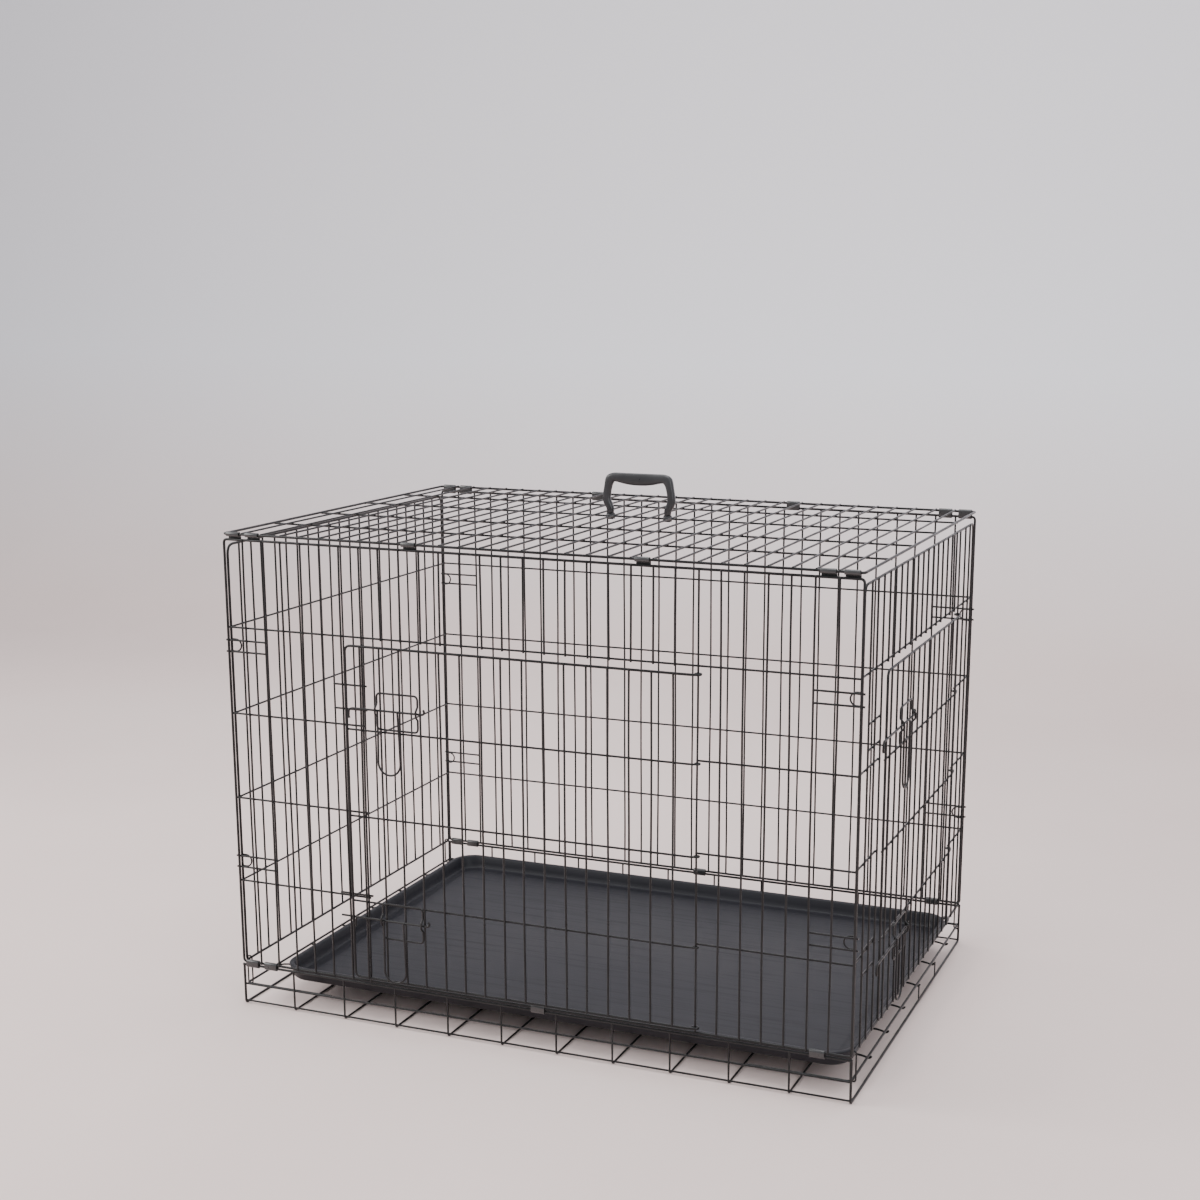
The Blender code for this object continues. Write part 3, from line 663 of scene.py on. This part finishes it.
def clip(name, body, node, profile, closed):
    """A strip of sheet bent along profile, with its edges eased by a bevel."""
    low, high = (Vector(corner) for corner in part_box(node))
    middle = (low + high) / 2
    half = (high.x - low.x) / 2 - 0.0002
    made = bmesh.new()
    rings = []
    for x in (-half, half):
        rings.append([made.verts.new((middle.x + x, y + MIDDLE.y, z)) for y, z in profile])
    count = len(profile)
    for n in range(count if closed else count - 1):
        m = (n + 1) % count
        made.faces.new([rings[0][n], rings[0][m], rings[1][m], rings[1][n]])
    mesh = bpy.data.meshes.new(name)
    made.to_mesh(mesh)
    made.free()
    piece = link(name, mesh)
    thick = piece.modifiers.new("thickness", "SOLIDIFY")
    thick.thickness = CLIP_SHEET
    thick.offset = 0
    thick.use_even_offset = True
    ease = piece.modifiers.new("eased_edges", "BEVEL")
    ease.width = 0.0003
    ease.segments = 2
    ease.limit_method = "ANGLE"
    ease.angle_limit = math.radians(50)
    mesh.shade_smooth()
    return declare(piece, body, CLIP, (node,))


def rolled(y, low, high, radius, gap):
    """A sleeve's middle line about two wires, open by gap degrees at its seam on top."""
    path = arc(y, high, radius, 90 + gap / 2, 180, 8) + arc(y, low, radius, 180, 360, 15)
    return path + arc(y, high, radius, 0, 90 - gap / 2, 8)


def make_clips():
    for side, sign in (("front", -1), ("back", 1)):
        for n in range(1, BASE_CLIPS_PER_SIDE + 1):
            node = f"{side}_base_clip_{n}"
            profile = rolled(sign * SIDE_PLANE, RAIL_HEIGHT, WALL_BOTTOM, CLIP_RADIUS, 24)
            clip(node + "_sheet", "base", node, profile, False)
    for n in range(1, LID_CLIPS + 1):
        node = f"lid_hinge_clip_{n}"
        profile = rolled(SIDE_PLANE, WALL_TOP, LID_HEIGHT, CLIP_RADIUS, 24)
        clip(node + "_sheet", "back_wall", node, profile, False)
        node = f"lid_hook_clip_{n}"
        y = -SIDE_PLANE
        profile = [(y + 0.0004, LID_HEIGHT - CLIP_RADIUS)] + arc(y, LID_HEIGHT, CLIP_RADIUS, 250, 10, 16)
        profile += [(y + 0.0046, LID_HEIGHT - 0.0022), (y + 0.0051, LID_HEIGHT - 0.0045)]
        profile += [(y + 0.0051, WALL_TOP + 0.0015), (y + 0.0049, WALL_TOP - 0.0014)]
        clip(node + "_sheet", "lid", node, profile, False)


# Tray


def tray_ring(inset, corner, height, steps=12):
    left, right = TRAY_LOW.x + inset, TRAY_HIGH.x - inset
    front, back = TRAY_LOW.y + inset, TRAY_HIGH.y - inset
    points = []
    for u, v, start in (
        (right - corner, back - corner, 0), (left + corner, back - corner, 90),
        (left + corner, front + corner, 180), (right - corner, front + corner, 270),
    ):
        points += arc(u, v, corner, start, start + 90, steps)
    return [Vector((x, y, height)) for x, y in points]


def make_tray():
    """A moulded pan: a rolled rim, sloping walls, a rounded foot, a shallow moat and a raised middle."""
    low, high = TRAY_LOW.z, TRAY_HIGH.z
    floor = low + 0.0028
    rim = high - 0.0016
    profile = [
        (0.0155, 0.0285, low), (0.0110, 0.0330, low + 0.0006), (0.0075, 0.0365, low + 0.0035),
        (0.0050, 0.0390, high - 0.0100), (0.0030, 0.0410, high - 0.0062), (0.0012, 0.0428, high - 0.0058),
    ]
    for angle in (200, 180, 155, 130, 110, 90):
        turn = math.radians(angle)
        inset = 0.0024 + 0.0024 * math.cos(turn)
        profile.append((inset, 0.044 - inset, rim - 0.0008 + 0.0024 * math.sin(turn)))
    profile += [
        (0.0062, 0.0378, high - 0.0001), (0.0080, 0.0360, high - 0.0008), (0.0094, 0.0346, high - 0.0026),
        (0.0122, 0.0318, floor + 0.0090), (0.0143, 0.0297, floor + 0.0028), (0.0160, 0.0280, floor + 0.0007),
        (0.0190, 0.0260, floor), (0.0300, 0.0240, floor), (0.0325, 0.0235, floor + 0.0004),
        (0.0350, 0.0230, floor + 0.0011), (0.0375, 0.0225, floor + 0.0014),
    ]
    made = bmesh.new()
    rings = []
    for inset, corner, height in profile:
        rings.append([made.verts.new(point) for point in tray_ring(inset, corner, height)])
    for lower, upper in zip(rings, rings[1:]):
        for n in range(len(lower)):
            m = (n + 1) % len(lower)
            made.faces.new([lower[n], lower[m], upper[m], upper[n]])
    made.faces.new(list(reversed(rings[0])))
    made.faces.new(rings[-1])
    bmesh.ops.recalc_face_normals(made, faces=made.faces)
    mesh = bpy.data.meshes.new("tray_shell")
    made.to_mesh(mesh)
    made.free()
    mesh.shade_smooth()
    mesh.set_sharp_from_angle(angle=math.radians(55))
    declare(link("tray_shell", mesh), "tray", TRAY, ("tray",))


# Carrying handle


def make_carry_handle():
    """A moulded arch: its cross-section is swept along a rounded path and thickens at the grip."""
    low, high = (Vector(corner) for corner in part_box("carry_handle"))
    centre_x = (low.x + high.x) / 2
    centre_y = (low.y + high.y) / 2
    top = high.z
    right = [
        (0.0530, 0.0042, 0.0058, 0.0056), (0.0530, 0.0100, 0.0060, 0.0060), (0.0536, 0.0155, 0.0062, 0.0063),
        (0.0582, 0.0225, 0.0064, 0.0072), (0.0606, 0.0300, 0.0065, 0.0072), (0.0597, 0.0400, 0.0065, 0.0068),
        (0.0577, 0.0500, 0.0067, 0.0067), (0.0560, 0.0585, 0.0069, 0.0073), (0.0535, 0.0652, 0.0070, 0.0096),
        (0.0480, 0.0683, 0.0070, 0.0082), (0.0400, 0.0680, 0.0070, 0.0080), (0.0300, 0.0668, 0.0070, 0.0093),
        (0.0200, 0.0659, 0.0070, 0.0102), (0.0100, 0.0654, 0.0070, 0.0107),
    ]
    stations = right + [(0.0, 0.0653, 0.0070, 0.0108)] + [(-x, z, d, t) for x, z, d, t in reversed(right)]
    made = bmesh.new()
    rings = []
    count = len(stations)
    sides = 20
    for n, (x, z, deep, thick) in enumerate(stations):
        before = stations[max(n - 1, 0)]
        after = stations[min(n + 1, count - 1)]
        along = Vector((after[0] - before[0], 0, after[1] - before[1])).normalized()
        across = Vector((-along.z, 0, along.x))
        ring = []
        for k in range(sides):
            turn = 2 * math.pi * k / sides
            c, s = math.cos(turn), math.sin(turn)
            flat_c = math.copysign(abs(c) ** 0.72, c)
            flat_s = math.copysign(abs(s) ** 0.72, s)
            spot = Vector((x, 0, z)) + across * (flat_c * thick) + Vector((0, flat_s * deep, 0))
            ring.append(made.verts.new((centre_x + spot.x, centre_y + spot.y, min(LID_HEIGHT + spot.z, top))))
        rings.append(ring)
    for first, second in zip(rings, rings[1:]):
        for k in range(sides):
            m = (k + 1) % sides
            made.faces.new([first[k], first[m], second[m], second[k]])
    made.faces.new(list(reversed(rings[0])))
    made.faces.new(rings[-1])
    bmesh.ops.recalc_face_normals(made, faces=made.faces)
    mesh = bpy.data.meshes.new("carry_handle_moulding")
    made.to_mesh(mesh)
    made.free()
    handle = link("carry_handle_moulding", mesh)
    smooth = handle.modifiers.new("smooth", "SUBSURF")
    smooth.levels = 2
    smooth.render_levels = 2
    mesh.shade_smooth()
    declare(handle, "carry_handle", GRIP, ("carry_handle",))
    for sign in (-1, 1):
        eye = make_handle_eye(centre_x + sign * HANDLE_FOOT_OFFSET, centre_y)
        eye.name = f"carry_handle_eye_{'left' if sign < 0 else 'right'}"


def make_handle_eye(x, y):
    """The clip at a leg's foot: a rounded block with a snap-in mouth below the wire that it turns on."""
    made = bmesh.new()
    outer = arc(0, 0, 0.0064, -60, 240, 25)
    inner = arc(0, 0, 0.0027, -50, 230, 25)
    rings = []
    for depth in (-0.0062, 0.0062):
        rings.append([
            [made.verts.new((x + depth, y + u, LID_HEIGHT + v)) for u, v in loop] for loop in (outer, inner)
        ])
    for n in range(len(outer) - 1):
        made.faces.new([rings[0][0][n], rings[0][0][n + 1], rings[0][1][n + 1], rings[0][1][n]])
        made.faces.new([rings[1][0][n], rings[1][1][n], rings[1][1][n + 1], rings[1][0][n + 1]])
        made.faces.new([rings[0][0][n], rings[1][0][n], rings[1][0][n + 1], rings[0][0][n + 1]])
        made.faces.new([rings[0][1][n], rings[0][1][n + 1], rings[1][1][n + 1], rings[1][1][n]])
    for n in (0, len(outer) - 1):
        made.faces.new([rings[0][0][n], rings[0][1][n], rings[1][1][n], rings[1][0][n]])
    bmesh.ops.recalc_face_normals(made, faces=made.faces)
    mesh = bpy.data.meshes.new("carry_handle_eye")
    made.to_mesh(mesh)
    made.free()
    eye = link("carry_handle_eye", mesh)
    ease = eye.modifiers.new("eased_edges", "BEVEL")
    ease.width = 0.0009
    ease.segments = 3
    ease.limit_method = "ANGLE"
    ease.angle_limit = math.radians(40)
    mesh.shade_smooth()
    return declare(eye, "carry_handle", GRIP)


# Studio


def make_stage():
    """A pale floor that curves up into a pale wall behind the crate."""
    made = bmesh.new()
    profile = [(-6.0, 0.0), (2.2, 0.0)] + [(2.2 + u, 1.6 + v) for u, v in arc(0, 0, 1.6, 270, 360, 17)]
    profile.append((3.8, 6.0))
    sides = [[made.verts.new((x, y, z)) for y, z in profile] for x in (-7.0, 7.0)]
    for n in range(len(profile) - 1):
        made.faces.new([sides[0][n], sides[1][n], sides[1][n + 1], sides[0][n + 1]])
    mesh = bpy.data.meshes.new("studio_sweep")
    made.to_mesh(mesh)
    made.free()
    mesh.shade_smooth()
    sweep = link("studio_sweep", mesh)
    graph = Graph("pale_floor")
    place = graph.node("ShaderNodeTexCoord").outputs["Object"]
    height = graph.node("ShaderNodeSeparateXYZ", links={"Vector": place}).outputs["Z"]
    up_the_wall = graph.grey_ramp(height, 0.0, 1.0, 0.05, 0.9)
    shades = [(0.3, (0.74, 0.61, 0.58)), (0.7, (0.78, 0.65, 0.62))]
    floor = graph.ramp(graph.noise(1.2, 3, place), shades)
    colour = graph.node("ShaderNodeMix")
    colour.data_type = "RGBA"
    graph.tree.links.new(up_the_wall, colour.inputs["Factor"])
    graph.tree.links.new(floor, colour.inputs["A"])
    colour.inputs["B"].default_value = (0.86, 0.86, 0.91, 1)
    graph.feed("Base Color", colour.outputs["Result"])
    graph.shader.inputs["Roughness"].default_value = 0.7
    mesh.materials.append(graph.material)


def area_light(name, place, target, size, power, colour):
    light = bpy.data.lights.new(name, "AREA")
    light.shape = "RECTANGLE"
    light.size, light.size_y = size
    light.energy = power
    light.color = colour
    lamp = link(name, light)
    lamp.location = place
    lamp.rotation_euler = (Vector(target) - Vector(place)).to_track_quat("-Z", "Y").to_euler()


def make_lights():
    area_light("window_left", (-3.0, -1.6, 2.6), (0, 0, 0.4), (2.4, 2.0), 125, (1.0, 0.98, 0.96))
    area_light("fill_right", (3.0, -2.4, 2.0), (0, 0, 0.4), (2.2, 2.0), 60, (0.96, 0.98, 1.0))
    area_light("overhead", (0.2, 0.4, 3.6), (0, 0.1, 0), (3.0, 2.6), 105, (1, 1, 1))
    world = bpy.data.worlds.new("studio_air")
    world.use_nodes = True
    air = world.node_tree.nodes["Background"]
    air.inputs["Color"].default_value = (0.93, 0.94, 0.97, 1)
    air.inputs["Strength"].default_value = 0.78
    bpy.context.scene.world = world


def make_camera():
    azimuth, elevation, roll = (math.radians(a) for a in (21.494, 12.557, 0.146))
    data = bpy.data.cameras.new("camera")
    data.sensor_fit = "HORIZONTAL"
    data.sensor_width = 36.0
    data.lens = 36.0 * 1831.65 / 1200
    data.shift_x = -0.0447
    data.shift_y = 0.0721
    data.clip_start = 0.05
    data.clip_end = 60
    camera = link("camera", data)
    ahead = Vector((
        -math.sin(azimuth) * math.cos(elevation),
        math.cos(azimuth) * math.cos(elevation),
        -math.sin(elevation),
    ))
    right = ahead.cross(Vector((0, 0, 1))).normalized()
    up = right.cross(ahead)
    rolled_right = right * math.cos(roll) + up * math.sin(roll)
    rolled_up = up * math.cos(roll) - right * math.sin(roll)
    turn = Matrix((rolled_right, rolled_up, -ahead)).transposed().to_4x4()
    place = Vector((1.72566 - 0.535 + MIDDLE.x, -2.47898 - 0.375 + MIDDLE.y, 1.21047))
    camera.matrix_world = Matrix.Translation(place) @ turn
    bpy.context.scene.camera = camera


make_walls()
make_lid()
make_doors()
make_latches("front", front_point, column(FRONT_LATCH_COLUMN), 0.030)
make_latches("end", right_point, end_column(END_LATCH_COLUMN), 0.090)
make_hooks()
make_links()
make_base()
make_tray_stop()
make_clips()
make_tray()
make_carry_handle()
make_stage()
make_lights()
make_camera()

bpy.context.view_layer.update()
